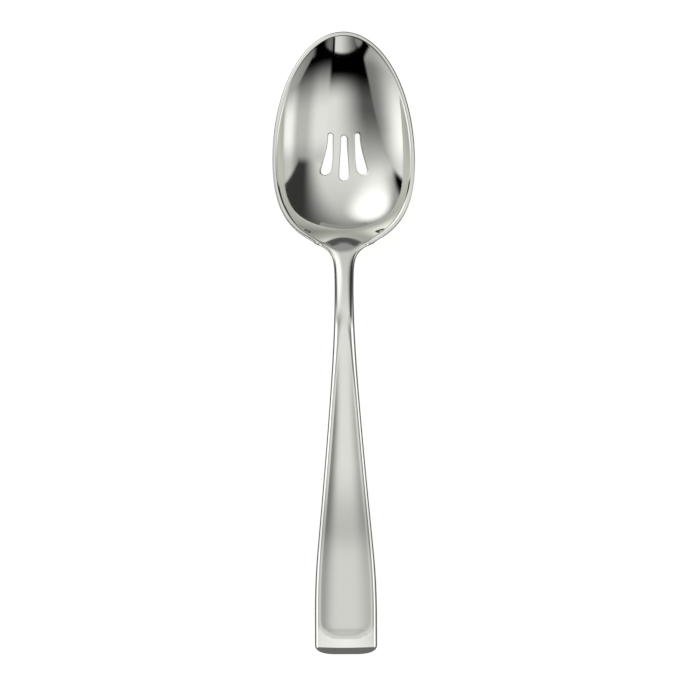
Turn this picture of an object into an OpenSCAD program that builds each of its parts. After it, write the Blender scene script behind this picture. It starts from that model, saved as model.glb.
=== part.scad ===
// Slotted serving spoon, forged from one blank of stainless steel and mirror polished.
// Stations run along the spoon from the bowl's tip (0) to the butt of the handle (spoon_l).
// The frame has +Y towards the tip, +X to the right, +Z up, and the table top at zero.
// Every node is one stretch of the same forging, lofted through sections square to the length.

/* [Overall] */
// Length from the tip of the bowl to the butt of the handle
spoon_l = 216; // [200:1:250]

/* [Bowl] */
// Widest part of the bowl, over the rim
bowl_w = 49.3; // [40:0.1:56]
// Length from the tip to the widest station
bowl_front = 44.5; // [36:0.5:50]
// Length from the widest station to where the egg shape closes at the heel
bowl_rear = 30.2; // [26:0.1:34]
// Depth of the hollow below the rim
bowl_depth = 11; // [6:0.1:13]
// Thickness of the metal at the bottom of the bowl
bowl_wall = 1.9; // [1.4:0.1:3]
// Width of the polished land on top of the rim
rim_land = 1.2; // [0.8:0.1:2]
// Thickness of the metal at the outermost edge of the rim
rim_t = 1.1; // [0.8:0.1:1.6]
// How far the tip of the rim dips below its height at the widest station
tip_dip = 1.5; // [0:0.1:3]
// Length of the heel, from where the egg shape closes to the start of the neck
heel_l = 5.1; // [4:0.1:6.5]
// Round along the line where the hollow bites into the neck
heel_round = 0.5; // [0.3:0.05:1.5]

/* [Slots] */
// Gap from the tip to the far end of the outer slots
slot_at = 34.9; // [30:0.1:38]
// Length of each outer slot
slot_l = 14.5; // [10:0.1:17]
// Width of the outer slots at the narrow end
slot_w_narrow = 1.7; // [1:0.1:2.4]
// Width of the outer slots at the wide end
slot_w_wide = 3.6; // [2.5:0.1:4.2]
// Distance of the outer slots' narrow ends from the centre line
slot_offset = 4.65; // [4:0.05:6]
// How far the outer slots curve away from the centre line on the way to the heel
slot_drift = 2; // [0:0.1:3]
// Gap from the tip to the far end of the middle slot
mid_slot_at = 35.6; // [30:0.1:38]
// Length of the middle slot
mid_slot_l = 15.8; // [10:0.1:18]
// Width of the middle slot at the narrow end
mid_slot_w_narrow = 2.1; // [1.5:0.1:3]
// Width of the middle slot at the wide end
mid_slot_w_wide = 3.4; // [2.5:0.1:4]

/* [Neck] */
// Width of the neck at its waist
neck_w = 6.5; // [5:0.1:9]
// Thickness of the neck at its waist
neck_t = 4.6; // [3.5:0.1:6]
// Station of the waist, from the tip
waist_at = 88; // [84:0.5:94]
// How far the neck's crest stands above the rim of the bowl
neck_rise = 6; // [3:0.1:10]
// Extra half width of the concave throat where the bowl runs into the neck
throat_flare = 6.8; // [5:0.1:8]
// Length over which the throat dies away
throat_fade = 2.36; // [2:0.02:3]

/* [Handle] */
// Widest part of the handle, near the butt
handle_w = 21.6; // [16:0.1:26]
// Growth of the handle's half width over a length equal to the spoon's
handle_flare = 21.6; // [16:0.1:30]
// Thickness of the handle at its thinnest
handle_t = 3.1; // [2.6:0.1:4]
// Thickness of the handle at the butt
butt_t = 3.9; // [3.2:0.1:5]
// Width of the raised edge beside the sunk panel
edge_land = 1.7; // [1:0.1:2.5]
// Depth of the sunk panel on top of the handle
panel_depth = 1.15; // [0.3:0.05:1.35]
// Gap from the butt to the round end of the panel
panel_end_gap = 6.1; // [4:0.1:9]
// Length of the panel's round end
panel_end = 5.5; // [3:0.1:8]
// Width of the slanted end face, seen from above
end_face = 2.9; // [2:0.1:4]
// How far the end face falls from its upper line to the butt
end_drop = 2; // [1:0.1:2.4]
// Length of the rounded corners of the butt
butt_corner = 3.1; // [2:0.1:5]
// Depth of the flat on the handle's back that rests on the table
foot_flat = 0.12; // [0.05:0.01:0.25]

/* [Hidden] */

steel = [0.80, 0.81, 0.78];

// Stations where the nodes meet face to face
bowl_end = bowl_front + bowl_rear + heel_l;
neck_end = waist_at + neck_w * 4;

// Sizes and places that follow the driving ones, each by its share of the size that it goes with
rim_r = rim_t / 2;
half_bowl = bowl_w / 2;
half_neck = neck_w / 2;
outer_depth = bowl_depth + bowl_wall - rim_t;
rim_mid = outer_depth + rim_r;
foot_mid = butt_t / 2 - foot_flat;
nose = rim_t / 4;

// The hollow's border lies inside the rim, and farther inside it at the heel
heel_land_share = 2.35;
hollow_front = bowl_front - rim_land;
hollow_half = half_bowl - rim_land;
hollow_rear = bowl_rear - rim_land * heel_land_share;

// Power of the curve that closes the egg shape, and place and size of the throat behind it
close_power = 2.37;
throat_share = 0.96;
throat_at = bowl_front + bowl_rear * throat_share;
heel_blend_share = 0.46;
heel_blend = neck_w * heel_blend_share;
shoulder_blend_share = 0.05;
shoulder_blend = handle_w * shoulder_blend_share;

// Where the neck's rise starts and ends, and where the long fall to the table starts and ends
rise_from_share = 0.38;
rise_from = bowl_front + bowl_rear * rise_from_share;
rise_to_share = 2.5;
rise_to = waist_at + neck_w * rise_to_share;
fall_from_share = 0.6;
fall_from = waist_at + neck_w * fall_from_share;
fall_to_share = 0.45;
fall_to = spoon_l - handle_w * fall_to_share;
// Bent share at each end of the long fall, which is even in between
glide_share = 0.2;

// Where the edge starts to thicken towards the neck, is thinnest, and starts to thicken to the butt
thick_from_share = 0.5;
thick_from = bowl_front + bowl_rear * thick_from_share;
thin_at_share = 0.66;
thin_at = spoon_l * thin_at_share;
butt_from_share = 0.76;
butt_from = spoon_l * butt_from_share;
round_to_share = 0.62;
round_to = spoon_l * round_to_share;

// Round of the handle's edge, the back's larger round, and the upright band at the very edge
edge_round_share = 0.75;
edge_r = edge_land * edge_round_share;
back_round_share = 1.3;
edge_band_share = 0.16;
// The line between the inner and outer points of a section never comes nearer the middle than this
inner_share = 0.55;

// How much flatter the dish is in the middle than a plain bowl, and steeper at the rim
flat_share = 0.25;
// Behind this share of the way to the rim, the heel's wall eases off into a lip
lip_from_share = 0.735;
lip_ease_share = 2;

// Power of the panel's cross section and softness of its border
panel_curve_share = 2.6;
panel_soft_share = 0.12;
// How far the end face is bowed either way, and how full the corners of the butt are
end_bow_share = 0.2;
end_crown_share = 0.15;
corner_share = 0.99;
slot_bend_share = 1.9;

// Points across a section: the inner stretch, and each outer stretch
bowl_inner = 24;
bowl_outer = 5;
bowl_back_inner = 14;
stem_inner = 12;
stem_outer = 5;
stem_back_inner = 8;
back_outer = 4;
slot_steps = 16;

// Sections along each stretch
bowl_front_steps = 22;
bowl_rear_steps = 24;
neck_steps = 20;
handle_steps = 34;
butt_steps = 9;

// Small length for slopes, and overrun for cuts
probe = 0.01;
over = 1;

// Smooth step from 0 to 1 with no jump in slope or curvature
function step01(t) = let (u = min(max(t, 0), 1)) u * u * u * (10 + u * (6 * u - 15));
function between(s, from, to) = step01((s - from) / (to - from));
function mix(a, b, t) = a + (b - a) * t;

// The same climb, but bent only near its ends and even in the middle
function glide(s, from, to) =
    let (
        u = min(max((s - from) / (to - from), 0), 1),
        x = min(u, 1 - u),
        bend = min(x / glide_share, 1),
        rise = glide_share * (pow(bend, 3) - pow(bend, 4) / 2) + max(x - glide_share, 0),
        share = rise / (1 - glide_share)
    )
    u < 0.5 ? share : 1 - share;

// The larger or smaller of two values, with a round of size k where they cross
function soft_max(a, b, k) = max(a, b) + pow(max(k - abs(a - b), 0), 2) / (4 * k);
function soft_min(a, b, k) = -soft_max(-a, -b, k);

// Distance along the bowl from its widest station, as a share of the way to either end.
// Both sides leave the widest station at the same rate, so the bowl has no ridge there.
function along(s, front, rear) =
    s < bowl_front
        ? (bowl_front - s) / front
        : let (t = (s - bowl_front) / rear, a = rear / front) a * t + (1 - a) * pow(t, close_power);

// Half width of the stem: a waist, a straight flare and a handle of constant width
function stem_half(s) =
    soft_min(
        sqrt(pow(half_neck, 2) + pow(max(s - waist_at, 0) * handle_flare / spoon_l, 2)),
        handle_w / 2,
        shoulder_blend
    );

// Half width of the stem with the concave throat that spreads into the bowl
function throat_half(s) =
    stem_half(s) + throat_flare * exp(-max(s - throat_at, 0) / throat_fade);

function bowl_half(s) =
    half_bowl * sqrt(max(1 - pow(min(along(s, bowl_front, bowl_rear), 1), 2), 0));

// Rounded corners of the butt, as a share of the half width
function butt_share(s) =
    let (u = max(butt_corner - (spoon_l - s), 0) / butt_corner)
    pow(1 - pow(u * corner_share, 2), 1 / 4);

// Half width of the whole spoon at a station
function half_at(s) =
    s < bowl_front
        ? sqrt(pow(bowl_half(s), 2) + pow(nose, 2) * (1 - s / bowl_front))
        : s < waist_at
            ? soft_max(bowl_half(s), throat_half(s), heel_blend)
            : stem_half(s) * butt_share(s);

// Square of the half width, and how fast it grows along the length
function area_at(s) = pow(half_at(s), 2);
function growth_at(s) =
    let (a = max(s - probe, 0), b = min(s + probe, spoon_l)) (area_at(b) - area_at(a)) / (b - a);

// How far a point lies inside the outline
function inside_by(x, w, growth) =
    (w * w - x * x) / sqrt(pow(w + abs(x), 2) + growth * growth);

// How far the rim dips at a station in front of the widest one
function tip_drop(s) = tip_dip * pow(max(1 - s / bowl_front, 0), 3);

// Height of the middle of the edge: level rim, rise to the neck's crest, long fall to the foot
function mid_z(s) =
    rim_mid - tip_drop(s)
    + neck_rise * between(s, rise_from, rise_to)
    - (rim_mid + neck_rise - foot_mid) * glide(s, fall_from, fall_to);

// Half thickness of the edge
function edge_half(s) =
    mix(rim_r, neck_t / 2, between(s, thick_from, waist_at))
    - (neck_t - handle_t) / 2 * between(s, waist_at, thin_at)
    + (butt_t - handle_t) / 2 * between(s, butt_from, fall_to);

// Width over which the edge rounds off: the whole half width at the waist, a narrow round elsewhere
function round_at(s) =
    mix(rim_r, half_neck, between(s, thick_from, waist_at))
    - (half_neck - edge_r) * between(s, waist_at, round_to);

// Rounding of the edge, from the band at the outline to the full half thickness
function edge_curve(d, r) = mix(edge_band_share, 1, sqrt(1 - pow(1 - min(max(d, 0) / r, 1), 2)));

// Way to the rim, squared, with the heel's wall eased off into its lip
function reach(s, front, rear) =
    let (way = pow(along(s, front, rear), 2), past = max(way - lip_from_share, 0))
    s > bowl_front ? way - past + ln(1 + lip_ease_share * past) / lip_ease_share : way;

// Dish of the bowl, as a share of its depth: 0 at the middle, 1 on its border
function dish(x, s, half, front, rear) =
    let (f = pow(x / half, 2) + reach(s, front, rear)) mix(f, f * f, flat_share);

function hollow_z(x, s) =
    rim_mid + rim_r - tip_drop(s)
    - bowl_depth * (1 - dish(x, s, hollow_half, hollow_front, hollow_rear));

function outer_z(x, s) =
    rim_mid - rim_r - tip_drop(s)
    - outer_depth * (1 - dish(x, s, half_bowl, bowl_front, bowl_rear));

// Sunk panel on the handle, which starts as a facet on the neck and ends in a round before the butt
function panel_z(x, s, w) =
    let (
        half = max(w - edge_land, w * inner_share),
        run = max(s - (spoon_l - panel_end_gap - panel_end), 0) / panel_end,
        fill = max(1 - pow(abs(x) / half, panel_curve_share) - pow(run, panel_curve_share), 0),
        depth = panel_depth * half / (handle_w / 2 - edge_land)
    )
    depth * between(s, waist_at - neck_w, thin_at) * fill * fill / (fill + panel_soft_share);

// The slanted face that closes the butt, bowed along the spoon and across it
function end_z(x, s) =
    let (
        run = max(s - (spoon_l - end_face), 0) / end_face,
        drop = end_drop * (1 + end_crown_share * pow(2 * x / handle_w, 2))
    )
    mid_z(s) + edge_half(s) - drop * pow(run, 1 + end_bow_share);

function top_z(x, s, w, growth) =
    let (
        body = mid_z(s) + edge_half(s) * edge_curve(inside_by(x, w, growth), round_at(s)),
        k = mix(rim_r / 2, heel_round, between(s, thick_from, bowl_front + bowl_rear))
    )
    (s < waist_at ? soft_min(body, hollow_z(x, s), k) : min(body, end_z(x, s))) - panel_z(x, s, w);

// The back, which ends in a flat on the table top
function back_z(x, s, w, growth) =
    let (
        body = mid_z(s) - edge_half(s) * edge_curve(inside_by(x, w, growth), round_at(s) * back_round_share),
        k = mix(rim_r, neck_t, between(s, bowl_front, bowl_end))
    )
    max(s < waist_at ? soft_min(body, outer_z(x, s), k) : body, 0);

// Places across a section, from -w to w: even inside the inner line, closer and closer to the edge
function across(w, line, inner, outer) = concat(
    [for (i = [0:outer - 1]) -line - (w - line) * cos(90 * i / outer)],
    [for (i = [0:inner]) line * (2 * i / inner - 1)],
    [for (i = [outer - 1:-1:0]) line + (w - line) * cos(90 * i / outer)]
);

// One closed section of the spoon at station s
function section(s, inner, outer, back_inner) =
    let (
        w = half_at(s),
        growth = growth_at(s),
        slope = growth / (2 * w),
        line = max(w - rim_land * sqrt(1 + slope * slope), w * inner_share),
        top = across(w, line, inner, outer),
        back = across(w, line, back_inner, back_outer)
    )
    concat(
        [for (x = top) [x, spoon_l / 2 - s, top_z(x, s, w, growth)]],
        [for (i = [len(back) - 1:-1:0]) [back[i], spoon_l / 2 - s, back_z(back[i], s, w, growth)]]
    );

// Skin over the sections at a list of stations, closed by a flat face at each end
module loft(stations, inner, outer, back_inner) {
    rings = [for (s = stations) section(s, inner, outer, back_inner)];
    n = len(rings[0]);
    m = len(rings);
    sides = [
        for (j = [0:m - 2]) for (i = [0:n - 1])
            let (k = (i + 1) % n)
            each [
                [j * n + i, j * n + k, (j + 1) * n + i],
                [j * n + k, (j + 1) * n + k, (j + 1) * n + i]
            ]
    ];
    first_end = [[for (i = [n - 1:-1:0]) i]];
    last_end = [[for (i = [0:n - 1]) (m - 1) * n + i]];
    polyhedron(
        points = [for (ring = rings) each ring],
        faces = concat(first_end, sides, last_end),
        convexity = 6
    );
}

// Outline of one slot: a curved drop, narrow towards the tip and wide towards the heel
module slot(at, l, narrow, wide, offset, drift) {
    function way(i) = (1 - cos(180 * i / slot_steps)) / 2;
    function side(v) = mix(narrow, wide, step01(v)) / 2;
    function end_share(v) =
        let (d = min(v, 1 - v) * l, r = side(v)) d < r ? sqrt(1 - pow(1 - d / r, 2)) : 1;
    function edge(v, sign) = [
        offset + drift * pow(v, slot_bend_share) + sign * side(v) * end_share(v),
        spoon_l / 2 - at - v * l
    ];
    translate([0, 0, -over])
        linear_extrude(height = rim_mid + over)
            polygon(concat(
                [for (i = [0:slot_steps]) edge(way(i), 1)],
                [for (i = [slot_steps - 1:-1:1]) edge(way(i), -1)]
            ));
}

// The egg-shaped bowl with its rim, heel and three punched slots
module bowl() {
    front_stations = [for (i = [0:bowl_front_steps]) bowl_front * (1 - cos(90 * i / bowl_front_steps))];
    rear_stations = [for (i = [1:bowl_rear_steps]) mix(bowl_front, bowl_end, i / bowl_rear_steps)];
    color(steel)
        difference() {
            loft(concat(front_stations, rear_stations), bowl_inner, bowl_outer, bowl_back_inner);
            slot(mid_slot_at, mid_slot_l, mid_slot_w_narrow, mid_slot_w_wide, 0, 0);
            for (sign = [-1, 1])
                scale([sign, 1, 1])
                    slot(slot_at, slot_l, slot_w_narrow, slot_w_wide, slot_offset, slot_drift);
        }
}

// The arched shank, from the heel of the bowl to the start of the flare
module neck() {
    color(steel)
        loft(
            [for (i = [0:neck_steps]) mix(bowl_end, neck_end, i / neck_steps)],
            stem_inner, stem_outer, stem_back_inner
        );
}

// The flared handle with its sunk panel, its rounded butt and the flat that rests on the table
module handle() {
    butt_at = spoon_l - end_face;
    long_stations = [for (i = [0:handle_steps]) mix(neck_end, butt_at, i / handle_steps)];
    butt_stations = [for (i = [1:butt_steps]) butt_at + end_face * sin(90 * i / butt_steps)];
    color(steel)
        loft(concat(long_stations, butt_stations), stem_inner, stem_outer, stem_back_inner);
}

bowl();
neck();
handle();
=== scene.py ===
# %% [markdown]
# A slotted serving spoon, polished like a mirror, lies on a pale table and is seen from straight above.
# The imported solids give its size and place. What they lack is smoothness: a mirror shows every facet.
# So the whole spoon is drawn again as one fine skin, which stands in for the three solids.

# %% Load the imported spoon
import math

import bmesh
import bpy
from mathutils import Matrix, Vector


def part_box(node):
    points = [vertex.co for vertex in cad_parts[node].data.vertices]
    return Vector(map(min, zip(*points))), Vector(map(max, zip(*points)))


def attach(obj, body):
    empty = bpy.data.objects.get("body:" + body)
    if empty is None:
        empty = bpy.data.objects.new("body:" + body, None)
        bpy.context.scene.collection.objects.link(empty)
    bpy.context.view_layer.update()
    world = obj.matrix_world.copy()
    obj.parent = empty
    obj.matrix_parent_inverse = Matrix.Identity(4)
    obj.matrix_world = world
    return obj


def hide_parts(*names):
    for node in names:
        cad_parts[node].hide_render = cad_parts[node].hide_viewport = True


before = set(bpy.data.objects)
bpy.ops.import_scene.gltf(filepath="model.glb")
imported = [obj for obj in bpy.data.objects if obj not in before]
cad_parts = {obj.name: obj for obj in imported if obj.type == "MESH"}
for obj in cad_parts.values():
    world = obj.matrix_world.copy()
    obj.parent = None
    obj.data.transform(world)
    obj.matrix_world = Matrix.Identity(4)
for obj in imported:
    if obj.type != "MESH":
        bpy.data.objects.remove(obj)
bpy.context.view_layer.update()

# %% [markdown]
# The real spoon comes out of a pair of dies, and a die maker's drawing gives it in a handful of sizes.
# They could be written down here a second time, but a size that is measured can't drift from the
# solids. So the length, the bowl's width, the handle's width and the stations where the solids meet
# are measured. The others don't show in a box, and are the drawing's sizes in millimetres.

# %% Measure the solids
MM = 0.001


def size_of(node):
    """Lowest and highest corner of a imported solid, in millimetres."""
    low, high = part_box(node)
    return Vector(low) / MM, Vector(high) / MM


bowl_low, bowl_high = size_of("bowl")
neck_low, _ = size_of("neck")
handle_low, handle_high = size_of("handle")

spoon_l = bowl_high.y - handle_low.y
bowl_w = bowl_high.x - bowl_low.x
handle_w = handle_high.x - handle_low.x
bowl_end = bowl_high.y - bowl_low.y
neck_end = bowl_high.y - neck_low.y
print(f"spoon {spoon_l:.1f} mm long, bowl {bowl_w:.1f} mm wide, handle {handle_w:.1f} mm wide")

# %% Sizes of the drawing
bowl_front = 44.5
bowl_rear = 30.2
bowl_depth = 11.0
bowl_wall = 1.9
rim_land = 1.2
rim_t = 1.1
tip_dip = 1.5
neck_w = 6.5
neck_t = 4.6
waist_at = 88.0
neck_rise = 6.0
throat_flare = 6.8
throat_fade = 2.36
handle_flare = 21.6
handle_t = 3.1
butt_t = 3.9
edge_land = 1.7
panel_depth = 1.15
panel_end = 5.5
panel_end_gap = 6.1
end_face = 2.9
end_drop = 2.0
heel_round = 0.5
butt_corner = 3.1
foot_flat = 0.12
print(f"bowl {bowl_front + bowl_rear:.1f} mm long to the heel's end and {bowl_depth} mm deep inside")

# %% [markdown]
# Some sizes follow others: a wider neck needs a longer crest, and a thicker rim a larger round. They
# are kept as shares of the size that they follow, so one number can be changed and the rest fits.

# %% Shares, and the sizes that follow
heel_land_share = 2.35
throat_share = 0.96
heel_blend_share = 0.46
shoulder_blend_share = 0.05
rise_from_share = 0.38
rise_to_share = 2.5
fall_from_share = 0.6
fall_to_share = 0.45
thick_from_share = 0.5
thin_at_share = 0.66
butt_from_share = 0.76
round_to_share = 0.62
edge_round_share = 0.75
back_round_share = 1.3
edge_band_share = 0.16
floor_flat_share = 0.25
end_bow_share = 0.2
end_crown_share = 0.15
panel_soft_share = 0.12
glide_share = 0.2
inner_share = 0.55
corner_share = 0.99
nose_share = 0.25

close_power = 2.37
corner_power = 0.25
panel_power = 2.6
lip_from = 0.735
lip_ease = 2.0
probe = 0.01

rim_r = rim_t / 2
half_bowl = bowl_w / 2
half_neck = neck_w / 2
outer_depth = bowl_depth + bowl_wall - rim_t
hollow_front = bowl_front - rim_land
hollow_half = half_bowl - rim_land
hollow_rear = bowl_rear - rim_land * heel_land_share
rim_mid = outer_depth + rim_r
throat_at = bowl_front + bowl_rear * throat_share
heel_blend = neck_w * heel_blend_share
shoulder_blend = handle_w * shoulder_blend_share
rise_from = bowl_front + bowl_rear * rise_from_share
rise_to = waist_at + neck_w * rise_to_share
fall_from = waist_at + neck_w * fall_from_share
fall_to = spoon_l - handle_w * fall_to_share
thick_from = bowl_front + bowl_rear * thick_from_share
nose = rim_t * nose_share
edge_r = edge_land * edge_round_share
foot_mid = butt_t / 2 - foot_flat
print(f"rim {rim_mid + rim_r:.1f} mm high, neck rises {rise_from:.1f} to {rise_to:.1f} mm off the tip")


# %% [markdown]
# A polished surface must have no jump in slope or in curvature, or a reflection breaks there. A
# subdivision surface is as smooth, but it pulls away from its own points, so sizes drift. Here heights
# pass from one value to the next by a step whose first two derivatives are zero at both ends, and two
# surfaces that cross are joined by a round instead of a corner.

# %% Smooth steps and soft joins
def mix(a, b, t):
    return a + (b - a) * t


def between(s, start, end):
    """0 before start, 1 after end, and a smooth climb in the stretch that lies in it."""
    u = min(max((s - start) / (end - start), 0), 1)
    return u * u * u * (10 + u * (6 * u - 15))


def glide(s, start, end):
    """Like between, but with a long even slope in the middle."""
    u = min(max((s - start) / (end - start), 0), 1)
    x = min(u, 1 - u)
    bend = min(x / glide_share, 1)
    rise = glide_share * (bend ** 3 - bend ** 4 / 2) + max(x - glide_share, 0)
    share = rise / (1 - glide_share)
    return share if u < 0.5 else 1 - share


def soft_max(a, b, k):
    """The larger of two heights, with a round of size k where they cross."""
    return max(a, b) + max(k - abs(a - b), 0) ** 2 / (4 * k)


def soft_min(a, b, k):
    return -soft_max(-a, -b, k)


print("climb from 0 to 1 in tenths:", [round(between(i / 10, 0, 1), 2) for i in range(11)])


# %% [markdown]
# Seen from above, the bowl is an egg: half an ellipse to the tip, and a blunter curve to the heel.
# A concave throat runs it into the neck, and the neck flares in a straight line to the handle's
# full width. The outline could be a drawn curve, but a formula gives a half width at every station
# along the length, and the heights can then be told by the same stations.

# %% The outline of the bowl
def along(s, front, rear):
    """How far a station lies from the bowl's widest place, as a share of the way to its end."""
    if s < bowl_front:
        return (bowl_front - s) / front
    t, a = (s - bowl_front) / rear, rear / front
    return a * t + (1 - a) * t ** close_power


def bowl_half(s):
    return half_bowl * math.sqrt(max(1 - min(along(s, bowl_front, bowl_rear), 1) ** 2, 0))


print("half widths of the bowl in mm, from the tip to its widest place:",
      [round(bowl_half(bowl_front * i / 4), 1) for i in range(5)])


# %% The outline of the neck and of the handle
def stem_half(s):
    flare = math.hypot(half_neck, max(s - waist_at, 0) * handle_flare / spoon_l)
    return soft_min(flare, handle_w / 2, shoulder_blend)


def throat_half(s):
    return stem_half(s) + throat_flare * math.exp(-max(s - throat_at, 0) / throat_fade)


def butt_share(s):
    u = max(butt_corner - (spoon_l - s), 0) / butt_corner
    return (1 - (u * corner_share) ** 2) ** corner_power


def half_at(s):
    """Half the spoon's width at a station, in millimetres."""
    if s < bowl_front:
        return math.sqrt(bowl_half(s) ** 2 + nose ** 2 * (1 - s / bowl_front))
    if s < waist_at:
        return soft_max(bowl_half(s), throat_half(s), heel_blend)
    return stem_half(s) * butt_share(s)


def growth_at(s):
    """How fast the square of the half width grows along the length."""
    a, b = max(s - probe, 0), min(s + probe, spoon_l)
    return (half_at(b) ** 2 - half_at(a) ** 2) / (b - a)


print("half widths in mm at the tip, widest place, waist and shoulder:",
      [round(half_at(s), 2) for s in (0, bowl_front, waist_at, fall_to)])


# %% [markdown]
# From the side, the rim lies nearly level, the neck rises to a crest and the handle falls in one long
# curve to the table. The forging is thin at the rim, thickest at the neck and thinner again in the
# handle. A straight blank could be bent by a modifier, but its heights would then be hard to foretell.
# So the middle's height and the half thickness are told by station, as the outline is.

# %% The line from the side, and the thickness
def tip_drop(s):
    return tip_dip * max(1 - s / bowl_front, 0) ** 3


def mid_z(s):
    return (
        rim_mid - tip_drop(s)
        + neck_rise * between(s, rise_from, rise_to)
        - (rim_mid + neck_rise - foot_mid) * glide(s, fall_from, fall_to)
    )


def edge_half(s):
    return (
        mix(rim_r, neck_t / 2, between(s, thick_from, waist_at))
        - (neck_t - handle_t) / 2 * between(s, waist_at, spoon_l * thin_at_share)
        + (butt_t - handle_t) / 2 * between(s, spoon_l * butt_from_share, fall_to)
    )


print("height of the middle in mm at the rim, waist and butt:",
      [round(mid_z(s), 1) for s in (bowl_front, waist_at, spoon_l)])


# %% [markdown]
# The edges of the real spoon are rounded on the polishing wheel: a small round on the rim, and on the
# neck one so large that it is the whole section. A bevel has one width and can't change like that.
# Here a place's height follows from how far it lies inside the outline, and the round's radius is one
# more thing that is told by station.

# %% The rounded edge
def round_at(s):
    return (
        mix(rim_r, half_neck, between(s, thick_from, waist_at))
        - (half_neck - edge_r) * between(s, waist_at, spoon_l * round_to_share)
    )


def inside_by(x, w, growth):
    """How far a place lies inside the outline."""
    return (w * w - x * x) / math.sqrt((w + abs(x)) ** 2 + growth ** 2)


def edge_curve(d, r):
    """Height of the edge's round, from a narrow upright band up to 1 at a distance r inside."""
    u = min(max(d, 0) / r, 1)
    return mix(edge_band_share, 1, math.sqrt(1 - (1 - u) ** 2))


print("radius of the edge in mm at the rim, waist and butt:",
      [round(round_at(s), 2) for s in (bowl_front, waist_at, spoon_l)])


# %% [markdown]
# The bowl is a dish pressed into that line, and a second, larger dish is its outside. A plain bowl
# of revolution would be too round in the middle: the photograph's reflections say that the floor is
# a little flatter and the wall a little steeper, so part of the dish is squared.

# %% The dish
def dish(x, s, half, front, rear):
    """0 at the dish's lowest point and 1 at its rim."""
    reach = along(s, front, rear) ** 2
    if s > bowl_front and reach > lip_from:
        reach = lip_from + math.log(1 + lip_ease * (reach - lip_from)) / lip_ease
    f = (x / half) ** 2 + reach
    return mix(f, f * f, floor_flat_share)


def hollow_z(x, s):
    rim = rim_mid + rim_r - tip_drop(s)
    return rim - bowl_depth * (1 - dish(x, s, hollow_half, hollow_front, hollow_rear))


def outer_z(x, s):
    rim = rim_mid - rim_r - tip_drop(s)
    return rim - outer_depth * (1 - dish(x, s, half_bowl, bowl_front, bowl_rear))


print("inside depth of the bowl in mm:", round(rim_mid + rim_r - hollow_z(0, bowl_front), 2))


# %% [markdown]
# The handle has a sunk panel that leaves a raised edge all round, and its butt ends in a slanted face.
# Each could be cut with a tool of its own, but as a depth taken off the top it keeps the skin whole.

# %% The sunk panel and the slanted end
def panel_z(x, s, w):
    half = max(w - edge_land, w * inner_share)
    run = max(s - (spoon_l - panel_end_gap - panel_end), 0) / panel_end
    fill = max(1 - (abs(x) / half) ** panel_power - run ** panel_power, 0)
    fade = between(s, waist_at - neck_w, spoon_l * thin_at_share)
    depth = panel_depth * half / (handle_w / 2 - edge_land) * fade
    return depth * fill * fill / (fill + panel_soft_share)


def end_z(x, s):
    """The slanted face that closes the butt, bowed a little along the spoon and across it."""
    run = max(s - (spoon_l - end_face), 0) / end_face
    drop = end_drop * (1 + end_crown_share * (2 * x / handle_w) ** 2)
    return mid_z(s) + edge_half(s) - drop * run ** (1 + end_bow_share)


mid_handle = (neck_end + spoon_l) / 2
print(f"panel {panel_z(0, mid_handle, half_at(mid_handle)):.2f} mm deep at mid handle")


# %% [markdown]
# On the real spoon the dish bites a U into the neck, which is the tongue seen at the heel. One solid
# could be cut out of another for that, and the sharp edge bevelled. But the lower of two heights is
# the same cut, and the soft join gives it a small round at once. The back is made the same way.

# %% The top and the back
def top_z(x, s, w, growth):
    body = mid_z(s) + edge_half(s) * edge_curve(inside_by(x, w, growth), round_at(s))
    if s < waist_at:
        heel = mix(rim_r / 2, heel_round, between(s, thick_from, bowl_front + bowl_rear))
        return soft_min(body, hollow_z(x, s), heel) - panel_z(x, s, w)
    return min(body, end_z(x, s)) - panel_z(x, s, w)


def back_z(x, s, w, growth):
    reach = round_at(s) * back_round_share
    body = mid_z(s) - edge_half(s) * edge_curve(inside_by(x, w, growth), reach)
    if s < waist_at:
        body = soft_min(body, outer_z(x, s), mix(rim_r, neck_t, between(s, bowl_front, bowl_end)))
    return max(body, 0)


def metal_at(x, s):
    """Heights of the underside and of the top of the spoon at a place, in millimetres."""
    w, growth = half_at(s), growth_at(s)
    return back_z(x, s, w, growth), top_z(x, s, w, growth)


for name, s in (("bowl", bowl_front), ("neck", waist_at), ("handle", neck_end)):
    low, high = metal_at(0, s)
    print(f"metal in the middle of the {name}: from {low:.2f} to {high:.2f} mm")


# %% [markdown]
# The real skin is one surface with no seam. It could be bridged from drawn sections, one pair after
# the other, but one flat grid gives all rows and columns at once. Its rows become stations along the
# spoon, close together where the outline turns fast. Its columns go once round a section, across the
# top from left to right and back along the underside, and the grid's two side edges are then merged.

# %% Where the rows go
front_rows = 130
rear_rows = 110
neck_rows = 46
handle_rows = 92
butt_rows = 26


def stations():
    """Distances from the tip, in millimetres, one for each row."""
    butt_at = spoon_l - end_face
    rows = [bowl_front * (1 - math.cos(math.pi / 2 * i / front_rows)) for i in range(front_rows)]
    rows += [mix(bowl_front, bowl_end, i / rear_rows) for i in range(rear_rows)]
    rows += [mix(bowl_end, neck_end, i / neck_rows) for i in range(neck_rows)]
    rows += [mix(neck_end, butt_at, i / handle_rows) for i in range(handle_rows)]
    rows += [butt_at + end_face * math.sin(math.pi / 2 * i / butt_rows) for i in range(butt_rows + 1)]
    return rows


rows = stations()
print(len(rows), "rows")

# %% Where the columns go
top_columns = 130
back_columns = 70
columns = top_columns + back_columns
line_share = 0.62


def across(t, w, line):
    """Place across a section for t from -1 to 1: even inside the line, crowded towards the edge."""
    a = abs(t)
    if a < line_share:
        x = line * a / line_share
    else:
        x = line + (w - line) * math.sin(math.pi / 2 * (a - line_share) / (1 - line_share))
    return math.copysign(x, t)


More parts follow.
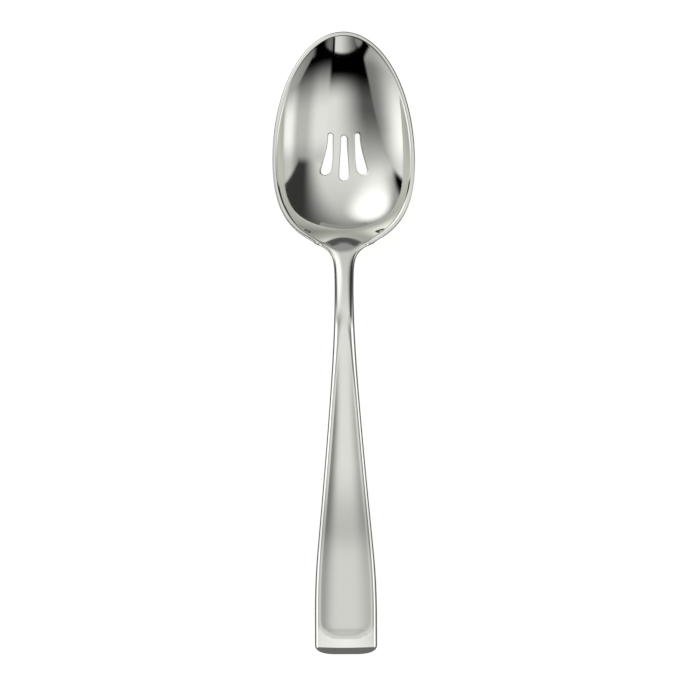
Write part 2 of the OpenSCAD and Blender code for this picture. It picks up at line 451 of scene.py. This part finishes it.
def section_point(s, column):
    """One point of the skin at station s, in metres."""
    w = half_at(s)
    growth = growth_at(s)
    slope = growth / (2 * w)
    line = max(w - rim_land * math.hypot(1, slope), w * inner_share)
    if column <= top_columns or column == columns:
        x = across(2 * (column % columns) / top_columns - 1, w, line)
        z = top_z(x, s, w, growth)
    else:
        x = across(1 - 2 * (column - top_columns - 1) / (back_columns - 2), w, line)
        z = back_z(x, s, w, growth)
    return Vector((x, spoon_l / 2 - s, z)) * MM


print(columns, "columns round a section")

# %% Wrap the grid round the spoon
merge_m = 1e-7


def wrap_skin():
    bm = bmesh.new()
    bmesh.ops.create_grid(bm, x_segments=columns, y_segments=len(rows) - 1, size=1)
    for v in bm.verts:
        column = round((v.co.x + 1) / 2 * columns)
        row = round((v.co.y + 1) / 2 * (len(rows) - 1))
        v.co = section_point(rows[row], column)
    bmesh.ops.remove_doubles(bm, verts=bm.verts, dist=merge_m)
    open_edges = [e for e in bm.edges if e.is_boundary]
    bmesh.ops.holes_fill(bm, edges=open_edges, sides=0)
    bmesh.ops.recalc_face_normals(bm, faces=bm.faces)
    return bm


skin = wrap_skin()
print("skin:", len(skin.verts), "points,", sum(e.is_boundary for e in skin.edges), "open edges")


# %% [markdown]
# The slots are punched after the bowl is pressed, so they are cut, not modelled in. Each is narrow
# towards the tip and wide towards the heel, with round ends, and the outer two bend outwards.

# %% Slot sizes and outline
slot_at = 34.9
slot_l = 14.5
slot_w_narrow = 1.7
slot_w_wide = 3.6
slot_offset = 4.65
slot_drift = 2.0
slot_bend = 1.9
mid_slot_at = 35.6
mid_slot_l = 15.8
mid_slot_w_narrow = 2.1
mid_slot_w_wide = 3.4
slot_points = 96


def slot_place(turn, side, at, length, narrow, wide, offset, drift):
    """A place on a slot's outline, in millimetres, for a turn from 0 to 1 round it."""
    up = abs(2 * (turn % 1) - 1)
    v = (1 - math.cos(math.pi * up)) / 2
    half = mix(narrow, wide, between(v, 0, 1)) / 2
    d = min(v, 1 - v) * length
    end = math.sqrt(1 - (1 - d / half) ** 2) if d < half else 1
    sign = 1 if turn % 1 < 0.5 else -1
    x = offset + drift * v ** slot_bend + sign * half * end
    return Vector((side * x, spoon_l / 2 - at - v * length))


outer_sizes = (slot_at, slot_l, slot_w_narrow, slot_w_wide, slot_offset, slot_drift)
middle_sizes = (mid_slot_at, mid_slot_l, mid_slot_w_narrow, mid_slot_w_wide, 0, 0)
low, high = metal_at(0, mid_slot_at)
print(f"metal at the middle slot's narrow end: from {low:.2f} to {high:.2f} mm")

# %% [markdown]
# A punch draws the metal in a little round each slot, and polishing rounds that edge further. The
# round could be bevelled afterwards, but a bevel on a cut edge of hundreds of uneven points tears.
# So the cutter itself flares along a narrow arc where it leaves the metal, above and below.

# %% The wall of a cutter, with its flares
slot_round = 0.3
round_steps = 4
round_turn = math.radians(66)
flare_l = 0.6
clear = 1.0


def cutter_wall(turn, side, *sizes):
    """Points up the cutter's wall at one place of its outline, in metres."""
    place = slot_place(turn, side, *sizes)
    run = slot_place(turn + probe, side, *sizes) - slot_place(turn - probe, side, *sizes)
    away = side * Vector((run.y, -run.x)).normalized()
    low, high = metal_at(place.x, spoon_l / 2 - place.y)
    arc = [round_turn * i / round_steps for i in range(round_steps + 1)]
    sunk = math.sin(round_turn)
    wall = [(slot_round * (1 - math.cos(a)), slot_round * (math.sin(a) - sunk)) for a in arc]
    wall.append((wall[-1][0] + flare_l * sunk, flare_l * math.cos(round_turn)))
    wide = wall[-1][0]
    profile = [(wide, -clear)]
    profile += [(out, low - up) for out, up in reversed(wall)]
    profile += [(out, high + up) for out, up in wall]
    profile += [(wide, rim_mid)]
    return [Vector((*(place + away * out), z)) * MM for out, z in profile]


print("points up a cutter's wall:", len(cutter_wall(0, 1, *middle_sizes)))


# %% [markdown]
# A cutter grows from one disc: the disc is extruded again and again, and each new cap is moved to the
# next level of the wall. The points carry their number round the outline in a layer, because an
# extrusion copies layers but gives no order.

# %% Build the cutters
def put(name, bm):
    """Make a bmesh into an object of the scene."""
    mesh = bpy.data.meshes.new(name)
    bm.to_mesh(mesh)
    bm.free()
    made = bpy.data.objects.new(name, mesh)
    bpy.context.collection.objects.link(made)
    return made


def slot_cutter(name, side, *sizes):
    walls = [cutter_wall(i / slot_points, side, *sizes) for i in range(slot_points)]
    bm = bmesh.new()
    bmesh.ops.create_circle(bm, segments=slot_points, radius=1, cap_ends=True)
    number = bm.verts.layers.int.new("number")
    for v in bm.verts:
        turn = math.atan2(v.co.y, v.co.x) / (2 * math.pi)
        v[number] = round(turn * slot_points) % slot_points
        v.co = walls[v[number]][0]
    bm.faces.ensure_lookup_table()
    cap = bm.faces[0]
    for level in range(1, len(walls[0])):
        made = bmesh.ops.extrude_face_region(bm, geom=[cap, *cap.edges])["geom"]
        faces = [g for g in made if isinstance(g, bmesh.types.BMFace)]
        cap = next(face for face in faces if len(face.verts) == slot_points)
        for v in cap.verts:
            v.co = walls[v[number]][level]
    bmesh.ops.recalc_face_normals(bm, faces=bm.faces)
    return put(name, bm)


cutters = [
    slot_cutter("punch_left", -1, *outer_sizes),
    slot_cutter("punch_right", 1, *outer_sizes),
    slot_cutter("punch_middle", 1, *middle_sizes),
]
print("cutters:", [(cutter.name, len(cutter.data.polygons)) for cutter in cutters])


# %% [markdown]
# A Boolean modifier cuts a closed shape out of another. The exact solver is slower than the fast one
# but keeps the mesh closed where cutter and skin meet at a slant, as the flares do. The evaluated
# mesh is taken as it is, so no modifier is left on the spoon.

# %% Punch the slots
def punched(bm, tools):
    """The skin as a mesh, with every tool cut out of it."""
    work = put("spoon_skin", bm)
    for tool in tools:
        cut = work.modifiers.new(tool.name, "BOOLEAN")
        cut.object = tool
        cut.operation = "DIFFERENCE"
        cut.solver = "EXACT"
    depsgraph = bpy.context.evaluated_depsgraph_get()
    done = bpy.data.meshes.new_from_object(work.evaluated_get(depsgraph))
    for ob in [work, *tools]:
        bpy.data.objects.remove(ob, do_unlink=True)
    return done


spoon_mesh = punched(skin, cutters)
print("after punching:", len(spoon_mesh.polygons), "faces")

# %% [markdown]
# Smooth shading lets the skin's small faces reflect as one surface. Edges sharper than an angle keep
# their corner: stretches of the slots' edges, a short crease at the heel and the butt's end. The
# finished spoon rides on the part's one body and takes the place of the three solids.

# %% Hand the spoon over
sharp_angle = math.radians(40)

spoon_mesh.name = "polished_spoon"
spoon_mesh.shade_smooth()
spoon_mesh.set_sharp_from_angle(angle=sharp_angle)
spoon = bpy.data.objects.new("polished_spoon", spoon_mesh)
bpy.context.collection.objects.link(spoon)
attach(spoon, "root")
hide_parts("bowl", "neck", "handle")
print("edges kept sharp:", sum(edge.use_edge_sharp for edge in spoon_mesh.edges))


# %% [markdown]
# Shader sums are easier to read as sums. A small class stands for one output of a node, and each
# plus, minus or times writes the Math node that does it. Every other node comes from one method.

# %% Shader sums as plain expressions
class Wire:
    """One output of a node tree, that sums can be written with, or with no socket only the tree."""

    def __init__(self, tree, socket=None):
        self.tree, self.socket = tree, socket

    def node(self, kind, settings, values, output=0):
        """Any other node: its type, its settings, then the value or link of each input."""
        made = self.tree.nodes.new(kind)
        for name, setting in settings.items():
            setattr(made, name, setting)
        for name, value in values.items():
            if isinstance(value, Wire):
                self.tree.links.new(value.socket, made.inputs[name])
            else:
                made.inputs[name].default_value = value
        return Wire(self.tree, made.outputs[output])

    def math(self, operation, a, b=0.0):
        return self.node("ShaderNodeMath", {"operation": operation}, {0: a, 1: b})

    def __add__(self, other):
        return self.math("ADD", self, other)

    def __sub__(self, other):
        return self.math("SUBTRACT", self, other)

    def __rsub__(self, other):
        return self.math("SUBTRACT", other, self)

    def __mul__(self, other):
        return self.math("MULTIPLY", self, other)

    def __truediv__(self, other):
        return self.math("DIVIDE", self, other)

    def __rtruediv__(self, other):
        return self.math("DIVIDE", other, self)

    def __pow__(self, other):
        return self.math("POWER", self, other)

    def __rpow__(self, other):
        return self.math("POWER", other, self)

    def __neg__(self):
        return 0 - self

    def __abs__(self):
        return self.math("ABSOLUTE", self)

    __radd__ = __add__
    __rmul__ = __mul__

    def at_least(self, other):
        return self.math("MAXIMUM", self, other)

    def step(self, start, end):
        """0 before start and 1 after end, with a soft climb in between."""
        return self.node(
            "ShaderNodeMapRange", {"interpolation_type": "SMOOTHSTEP"},
            {"Value": self, "From Min": start, "From Max": end, "To Min": 0.0, "To Max": 1.0},
        )

    def axes(self):
        """The three numbers of a place."""
        split = self.node("ShaderNodeSeparateXYZ", {}, {0: self}).socket.node
        return [Wire(self.tree, socket) for socket in split.outputs]

    def tinted(self, colour):
        """A colour as bright as this value says."""
        return self.node("ShaderNodeVectorMath", {"operation": "SCALE"}, {0: colour, "Scale": self})

    def feeds(self, node, name):
        self.tree.links.new(self.socket, node.inputs[name])


# %% [markdown]
# The steel is stamped, ground and then buffed on soft wheels. It ends as a mirror, but a worked one:
# the surface still rolls by about a hundredth of a millimetre, which makes the edges of a reflection
# waver, the wheels leave hair-fine lines along the spoon, and a thin haze lies here and there.
# A flat chrome colour would show none of that, so the three are drawn by noise on the object's own
# coordinates. Lines need a stretched pattern, so a Mapping node squeezes the coordinates across.
# Each metal also has one plain roughness, for a viewer that doesn't follow the nodes.

# %% Start of a material
def new_material(name, tint, roughness):
    """A metal, its node tree's shader, and its object coordinates."""
    material = bpy.data.materials.new(name)
    material.use_nodes = True
    tree = material.node_tree
    shader = tree.nodes["Principled BSDF"]
    shader.inputs["Metallic"].default_value = 1
    shader.inputs["Base Color"].default_value = tint
    shader.inputs["Roughness"].default_value = roughness
    place = Wire(tree).node("ShaderNodeTexCoord", {}, {}, "Object")
    return material, shader, place


def noise(place, scale, detail, stretch=(1, 1, 1)):
    """Noise from 0 to 1 over a place, in patches of about 1 / scale metres."""
    drawn = place.node("ShaderNodeMapping", {}, {"Vector": place, "Scale": stretch})
    return place.node("ShaderNodeTexNoise", {}, {"Vector": drawn, "Scale": scale, "Detail": detail})


# %% Polished steel
steel_tint = (0.74, 0.75, 0.71, 1)
steel_plain_roughness = 0.05
roll_scale, roll_detail = 110.0, 1.0
hair_scale, hair_detail = 4000.0, 2.0
haze_scale, haze_detail = 45.0, 4.0
along_spoon = (1, 0.02, 1)
haze_range = (0.5, 0.75)
mirror_roughness = 0.03
hair_roughness = 0.03
haze_roughness = 0.03
hair_share = 0.02
roll_height = 0.00002


def polished_steel():
    material, shader, place = new_material("polished_steel", steel_tint, steel_plain_roughness)
    roll = noise(place, roll_scale, roll_detail)
    hairs = noise(place, hair_scale, hair_detail, along_spoon)
    haze = noise(place, haze_scale, haze_detail).step(*haze_range)
    roughness = mirror_roughness + hairs * hair_roughness + haze * haze_roughness
    roughness.feeds(shader, "Roughness")
    height = roll + hairs * hair_share
    bump = place.node("ShaderNodeBump", {}, {"Strength": 1.0, "Distance": roll_height, "Height": height})
    bump.feeds(shader, "Normal")
    return material


spoon_mesh.materials.clear()
spoon_mesh.materials.append(polished_steel())
print("steel, nodes:", len(spoon_mesh.materials[0].node_tree.nodes))

# %% [markdown]
# The walls of the slots keep the punch's upright drag marks and are never polished bright. They get a
# second material, rougher, with noise that is drawn out upwards. Its darker tint is painted shade, for
# the shade in the slots. The faces are told by where they are and by how steep they stand, because a
# Boolean gives them no name.

# %% Punched walls
# The darker tint of the slots' walls is painted shade; their roughness and drag marks are the punch's.
wall_tint_painted_shade = (0.42, 0.42, 0.40, 1)
punched_plain_roughness = 0.35
punched_roughness = 0.28
drag_roughness = 0.2
drag_scale, drag_detail = 5000.0, 2.0
upright = (1, 1, 0.03)
drag_strength, drag_height = 0.5, 0.00002
wall_lean = 0.3


def punched_steel_painted_shade():
    # Painted shade: the walls' tint is darker than the polished steel's.
    material, shader, place = new_material("punched_steel_painted_shade", wall_tint_painted_shade, punched_plain_roughness)
    drag = noise(place, drag_scale, drag_detail, upright)
    (punched_roughness + drag * drag_roughness).feeds(shader, "Roughness")
    marks = {"Strength": drag_strength, "Distance": drag_height, "Height": drag}
    place.node("ShaderNodeBump", {}, marks).feeds(shader, "Normal")
    return material


def in_a_slot(face):
    """Whether a face is a slot's upright wall."""
    s = spoon_l / 2 - face.center.y / MM
    inside = mid_slot_at - slot_w_wide < s < mid_slot_at + mid_slot_l + slot_w_wide
    return inside and abs(face.center.x / MM) < half_bowl / 2 and abs(face.normal.z) < wall_lean


spoon_mesh.materials.append(punched_steel_painted_shade())
for face in spoon_mesh.polygons:
    face.material_index = 1 if in_a_slot(face) else 0
print("faces on the slots' walls:", sum(face.material_index for face in spoon_mesh.polygons))


# %% [markdown]
# A spoon on a pale ground is seen bright on bright. The table is a plain sheet, large enough to fill
# the picture from any side. It could be lit until it is nearly white, but the steel would mirror that
# white too, and its steep edges are darker. So the sheet glows for the camera only: a Light Path node
# tells a ray that comes straight from the camera from one that has met the steel.

# %% Flat sheets
def sheet(name, low, high, z, material):
    """A flat sheet between two corners, at a height, all in millimetres."""
    bm = bmesh.new()
    bmesh.ops.create_grid(bm, x_segments=1, y_segments=1, size=0.5)
    bmesh.ops.scale(bm, vec=(*(high - low) * MM, 1), verts=bm.verts)
    bmesh.ops.translate(bm, vec=Vector((*(low + high) / 2, z)) * MM, verts=bm.verts)
    made = put(name, bm)
    made.data.materials.append(material)
    return made


# %% Table
table_gap = 0.02
table_corner = Vector((3000, 3000))
table_tint = (0.2, 0.2, 0.2, 1)
table_roughness = 0.9
table_seen = (0.93, 0.93, 0.92)


def pale_table():
    material = bpy.data.materials.new("pale_table")
    material.use_nodes = True
    tree = material.node_tree
    shader = tree.nodes["Principled BSDF"]
    shader.inputs["Base Color"].default_value = table_tint
    shader.inputs["Roughness"].default_value = table_roughness
    shader.inputs["Emission Strength"].default_value = 1
    eye = Wire(tree).node("ShaderNodeLightPath", {}, {}, "Is Camera Ray")
    eye.tinted(table_seen).feeds(shader, "Emission Color")
    return material


table = sheet("table_top", -table_corner, table_corner, -table_gap, pale_table())
print(f"table {2 * table_corner.x * MM:.0f} m wide, {table_gap} mm under the spoon")


# %% [markdown]
# A mirror shows the room, so most of the spoon's look is the studio round it: a few soft cards, an
# umbrella and dark gaps. They could be hung as glowing planes, each with its own size, distance and
# tilt. Painted on the sky by direction, each is one formula on a flat map, where straight up is the
# middle, the horizon is the circle of radius 1 and circles stay circles.

# %% The flat map, and one thing laid over another
def from_above(u, v):
    """Angle between straight up and a place of the map, in whole degrees."""
    return round(math.degrees(2 * math.atan(math.hypot(u, v))))


def blend(level, brightness, mask):
    """Lay something of a given brightness over a level where the mask is 1."""
    return level * (1 - mask) + mask * brightness


def slant(a, b, at, lean):
    """How far a lies past a line that leans by lean for each step of b beyond at."""
    return a - (b - at) * lean


print("half way out on the map, degrees from straight up:", from_above(0.5, 0))


# %% [markdown]
# One half of the map is the room on the tip's side: a pale ceiling that is dimmer further off, and on
# its right a dark wall. The wall's edge fans out, so its soft step is as wide as the fan is there.
# On the map u runs to the right and v towards the tip's side. A pair of numbers in brackets is where
# a soft edge starts and where it ends.

# %% Ceiling and wall
ceiling_light, ceiling_fall = 0.92, 0.65
left_corner, corner_dim = (0.45, 0.8), 0.4
wall_near, near_lean = 0.26, 0.6
wall_far, far_lean = 0.51, 0.25
wall_light = 0.045


def room_level(u, v):
    ceiling = ceiling_light - v * ceiling_fall
    near = wall_near - v * near_lean
    far = wall_far + v * far_lean
    wall = ((u - near) / (far - near)).step(0.0, 1.0)
    return blend(ceiling * (1 - (-u).step(*left_corner) * corner_dim), wall_light, wall)


print("dark wall, degrees from straight up:", from_above(wall_near, 0), "to", from_above(wall_far, 0))

# %% [markdown]
# Over the spoon hangs a scrim, a frame of white cloth with a lamp behind it. It is darker on its left,
# where something stands in the lamp's way. Towards the tip it runs into the ceiling, and towards the
# handle it ends, with only black beyond. A picture of a real scrim could be loaded instead, but two
# soft steps say the same, and each can be moved by one number.

# %% Scrim
scrim_light = 0.95
scrim_foot = (-0.295, -0.165)
dark_side, dark_end, dark_depth = (-0.12, 0.28), (-0.16, 0.14), 0.88
join_edge, join_lean = (0.0, 0.12), 0.25


def scrim_level(u, v):
    dark = (-u).step(*dark_side) * (1 - v.step(*dark_end))
    return (1 - dark * dark_depth) * v.step(*scrim_foot) * scrim_light


def scrim_and_room(u, v):
    past_join = (v + u.at_least(0.0) * join_lean).step(*join_edge)
    return blend(scrim_level(u, v), room_level(u, v), past_join)


print("scrim's foot, degrees from straight up:", from_above(0, scrim_foot[0]))

# %% [markdown]
# The brightest place in the bowl is an umbrella with a lamp in it, seen as a round glow that fades
# outwards. The distance from its middle gives both the round and the fade.

# %% Umbrella
umbrella_u, umbrella_v = -0.385, 0.41
umbrella_fade = (0.15, 0.42)
umbrella_light = 1.5


def with_umbrella(level, u, v):
    out = ((u - umbrella_u) ** 2 + (v - umbrella_v) ** 2) ** 0.5
    return blend(level, umbrella_light, 1 - out.step(*umbrella_fade))


print("umbrella, degrees from straight up:", from_above(umbrella_u, umbrella_v))

# %% [markdown]
# On the right stands a pale panel with a brighter strip far out, and below it a narrow panel that
# widens outwards. In the steel they are the light bands along the bowl's right side. The first covers
# what lies behind it, so it is blended. The second only adds light, so the brighter of the two counts.

# %% Panel on the right
panel_side = (0.15, 0.2)
panel_dip, dip_depth = (0.3, 0.5), 0.38
strip_start, strip_end, strip_light = (0.62, 0.8), (0.88, 1.0), 0.6
panel_foot, panel_head, head_dim = (-0.38, -0.13), (-0.07, 0.04), 0.4
top_at, top_soft = 0.012, (-0.015, 0.02)
top_bend, top_lean = 0.6, 0.5


def with_right_panel(level, u, v):
    top = (u - top_bend).at_least(0.0) * top_lean + top_at
    panel = 1 - u.step(*panel_dip) * dip_depth
    panel = panel + u.step(*strip_start) * strip_light - u.step(*strip_end) * strip_light
    panel = panel * v.step(*panel_foot) * (1 - v.step(*panel_head) * head_dim)
    return blend(level, panel, u.step(*panel_side) * (1 - (v - top).step(*top_soft)))


print("right panel, degrees from straight up:", from_above(panel_side[0], 0))

# %% Narrow panel on the right
narrow_from, narrow_side = 0.5, (0.42, 0.52)
narrow_at, narrow_lean = -0.43, 0.4
narrow_half, narrow_spread, narrow_soft = 0.03, 0.22, (0.6, 1.3)
narrow_light, narrow_gain = 0.25, 0.7


def with_narrow_panel(level, u, v):
    reach = (u - narrow_from).at_least(0.0)
    off = abs(v - narrow_at - reach * narrow_lean) / (reach * narrow_spread + narrow_half)
    light = reach * narrow_gain + narrow_light
    return level.at_least(light * (1 - off.step(*narrow_soft)) * u.step(*narrow_side))


print("narrow panel, degrees from straight up:", from_above(narrow_from, narrow_at))

# %% [markdown]
# On the left leans a white card with four slanted sides. It is brighter outwards, and a black patch
# stands over its far end. Each side is a soft step across a slanted line, and where two steps are
# multiplied only what lies inside both is left, as when paper is cut twice. A side's first pair says
# where its line stands and how it leans, and the second is its soft edge.

# %% White card on the left
card_low, card_low_soft = (-0.34, 0.32), (0.315, 0.365)
card_high, card_high_soft = (-0.15, 0.95), (0.37, 0.43)
card_top, card_top_soft = (0.0, 0.36), (-0.22, -0.185)
card_foot, card_foot_soft = (0.31, -0.6), (-0.39, -0.35)
card_light, card_gain, card_rise = 0.25, 1.05, (0.4, 0.9)
low_dim, low_fade = 0.68, (0.12, 0.42)
foot_gain, foot_rise = 0.2, (0.33, 0.42)
top_gain, top_rise = 0.12, (-0.12, 0.0)
top_dim, top_fade = 0.35, (-0.08, 0.08)


def with_left_card(level, u, v):
    left = -u
    near = slant(left, v, *card_low).step(*card_low_soft)
    near = near * slant(left, v, *card_high).step(*card_high_soft)
    ends = 1 - slant(v, left, *card_top).step(*card_top_soft)
    ends = ends * slant(v, left, *card_foot).step(*card_foot_soft)
    glow = card_light + left.step(*card_rise) * (card_gain - (-v).step(*low_fade) * low_dim)
    glow = glow + (-v).step(*foot_rise) * foot_gain + v.step(*top_rise) * top_gain
    return blend(level, glow * (1 - v.step(*top_fade) * top_dim), near * ends)


print("white card, degrees from straight up:", from_above(card_rise[0], 0))

# %% Black patch over the card's far end
patch_foot_soft = (-0.21, -0.17)
patch_side = (0.62, 0.8)
patch_head, patch_head_soft = (0.8, 1.1), (0.13, 0.30)


def with_black_patch(level, u, v):
    left = -u
    over = slant(v, left, *card_top).step(*patch_foot_soft) * left.step(*patch_side)
    return level * (1 - over * (1 - slant(v, left, *patch_head).step(*patch_head_soft)))


print("black patch, degrees from straight up:", from_above(patch_side[0], 0))

# %% [markdown]
# Towards the handle the neck and the heel mirror a pale panel that bows, a fainter one on its right
# and a small one on its left. They are added, not blended, because the scrim has ended there and
# nothing lies behind them.

# %% Panels towards the handle
bow, bow_top = 0.7, (-0.405, -0.38)
pale_light, pale_gain, pale_rise = 0.14, 0.75, (-0.22, 0.08)
pale_right, pale_left = (0.118, 0.135), (0.19, 0.24)
faint_start, faint_end, faint_light = (0.155, 0.17), (0.22, 0.32), 0.2
small_u, small_v = -0.27, -0.49
small_soft, small_light = (0.0015, 0.006), 0.28


def with_low_panels(level, u, v):
    top = v + u * u * bow
    pale = (pale_light + u.step(*pale_rise) * pale_gain) * (1 - u.step(*pale_right))
    pale = pale + u.step(*faint_start) * (1 - u.step(*faint_end)) * faint_light
    pale = pale * (1 - (-u).step(*pale_left))
    small = 1 - ((u - small_u) ** 2 + (v - small_v) ** 2).step(*small_soft)
    return level + (pale + small * small_light) * (1 - top.step(*bow_top))


print("panels towards the handle, degrees from straight up:", from_above(0, bow_top[0]))

# %% [markdown]
# Low down, the room is plain: dim beyond the handle, grey behind the tip, and nearly black where the
# table ends. The bowl's steep sides squeeze all that into thin lines, so flat tones are enough.

# %% Low ends of the room
dim_light, dim_edge = 0.19, (-0.60, -0.56)
behind_tip, beside_tip = (0.45, 0.7), (0.3, 0.5)
grey_light, grey_edge = 0.36, (0.64, 0.68)
dark_light, dark_edge = 0.1, (0.88, 0.91)


def with_low_ends(level, u, v):
    level = blend(level, dim_light, 1 - v.step(*dim_edge))
    low = (u * u + v * v) * v.step(*behind_tip) * (1 - abs(u).step(*beside_tip))
    level = blend(level, grey_light, low.step(*grey_edge))
    return blend(level, dark_light, low.step(*dark_edge))


print("grey wall and dark edge, degrees from straight up:",
      [from_above(0, math.sqrt(edge[0])) for edge in (grey_edge, dark_edge)])

# %% [markdown]
# The cards are laid over the scrim and the room one after the other, as cut paper is laid on a sheet.
# A direction with the upward part z lands on the map at x / (1 + z) and y / (1 + z). In low views the
# camera looks past the table, and there it sees a plain pale backdrop instead of the painted room.

# %% Studio
backdrop = 0.93
studio_tint = (1, 1, 0.985)
lowest_z = -0.5


def studio_level(u, v):
    """Brightness of the room at a place of the flat map."""
    level = scrim_and_room(u, v)
    for lay_over in (with_umbrella, with_right_panel, with_narrow_panel, with_left_card,
                     with_black_patch, with_low_panels, with_low_ends):
        level = lay_over(level, u, v)
    return level


def paint_studio(tree):
    """Paint the room on the sky."""
    x, y, z = Wire(tree).node("ShaderNodeTexCoord", {}, {}, "Generated").axes()
    lift = z.at_least(lowest_z) + 1
    eye = Wire(tree).node("ShaderNodeLightPath", {}, {}, "Is Camera Ray")
    level = blend(studio_level(x / lift, y / lift), backdrop, eye)
    level.tinted(studio_tint).feeds(tree.nodes["Background"], "Color")
    tree.nodes["Background"].inputs["Strength"].default_value = 1


world = bpy.data.worlds.new("studio")
bpy.context.scene.world = world
world.use_nodes = True
paint_studio(world.node_tree)
print("studio:", len(world.node_tree.nodes), "nodes")

# %% [markdown]
# The handle is long and nearly flat, so it mirrors one small patch of the room. In a studio a soft box
# is hung low over such a handle. This one is bright in the middle, darker to the sides, and bright
# again further out, for the handle's raised edges. It hangs near, where each place of the handle sees
# another part of it, so it can't be painted on the sky. It is a glowing sheet that only reflections
# see, and it fades out towards the bowl by its Alpha.

# %% Glow of the soft box
to_mm = 1 / MM
black = (0, 0, 0, 1)
box_light = 0.95
right_fade, right_dim = (0.0, 15.0), 0.68
left_fade, left_dim = (0.0, 16.0), 0.4
sides_rise, sides_gain, sides_least = (-125.0, -60.0), 0.55, 0.45
rim_rise, rim_gain = (26.0, 40.0), 1.3
band_start, band_end, band_dim = (-95.0, -80.0), (-80.0, -55.0), 0.3
butt_fade, butt_dim = (85.0, 95.0), 0.12
end_rise, end_gain = (99.0, 102.0), 0.3
bowl_fade = (-2.0, 10.0)


def glow_of_box():
    material, shader, place = new_material("soft_box", black, 1)
    x, y = (side * to_mm for side in place.axes()[:2])
    sides = x.step(*right_fade) * right_dim + (-x).step(*left_fade) * left_dim
    level = box_light - sides * (y.step(*sides_rise) * sides_gain + sides_least)
    level = level + abs(x).step(*rim_rise) * rim_gain
    level = level * (1 - y.step(*band_start) * (1 - y.step(*band_end)) * band_dim)
    level = level * (1 - (-y).step(*butt_fade) * butt_dim) + (-y).step(*end_rise) * end_gain
    level.tinted(studio_tint).feeds(shader, "Emission Color")
    shader.inputs["Emission Strength"].default_value = 1
    (1 - y.step(*bowl_fade)).feeds(shader, "Alpha")
    return material


# %% Soft box over the handle
box_z = 45.0
box_low, box_high = Vector((-90, -190)), Vector((90, 12))

soft_box = sheet("soft_box", box_low, box_high, box_z, glow_of_box())
soft_box.visible_camera = False
soft_box.visible_diffuse = False
soft_box.visible_shadow = False
print("soft box in mm:", list(box_high - box_low), "at a height of", box_z)

# %% [markdown]
# The spoon is seen from straight above, with a long lens from far off, so the bowl and the butt keep
# their true proportions. An orthographic camera would do that too, but its rays are all parallel, and
# the flat handle would then mirror one single point of the room. The lens is worked out from the
# distance and from how much of the table the picture shows. A small lean and turn match how the spoon
# lies in the picture.

# %% Camera
sensor = 36.0
picture_mm = 243.5
distance = 2400.0
far_m = 20
lean = math.radians(0.5)
turn = math.radians(-0.25)
aim_x, aim_y = 1.8, -2.25

camera_data = bpy.data.cameras.new("camera")
camera_data.sensor_width = sensor
camera_data.lens = sensor * distance / picture_mm
camera_data.clip_end = far_m
camera = bpy.data.objects.new("camera", camera_data)
bpy.context.collection.objects.link(camera)
bpy.context.scene.camera = camera
place = Vector((aim_x + distance * math.sin(lean), aim_y, distance * math.cos(lean))) * MM
camera.matrix_world = (
    Matrix.Translation(place) @ Matrix.Rotation(lean, 4, "Y") @ Matrix.Rotation(turn, 4, "Z")
)
bpy.context.scene.view_settings.view_transform = "Standard"
print(f"lens {camera_data.lens:.0f} mm, {place.z:.2f} m over the table")
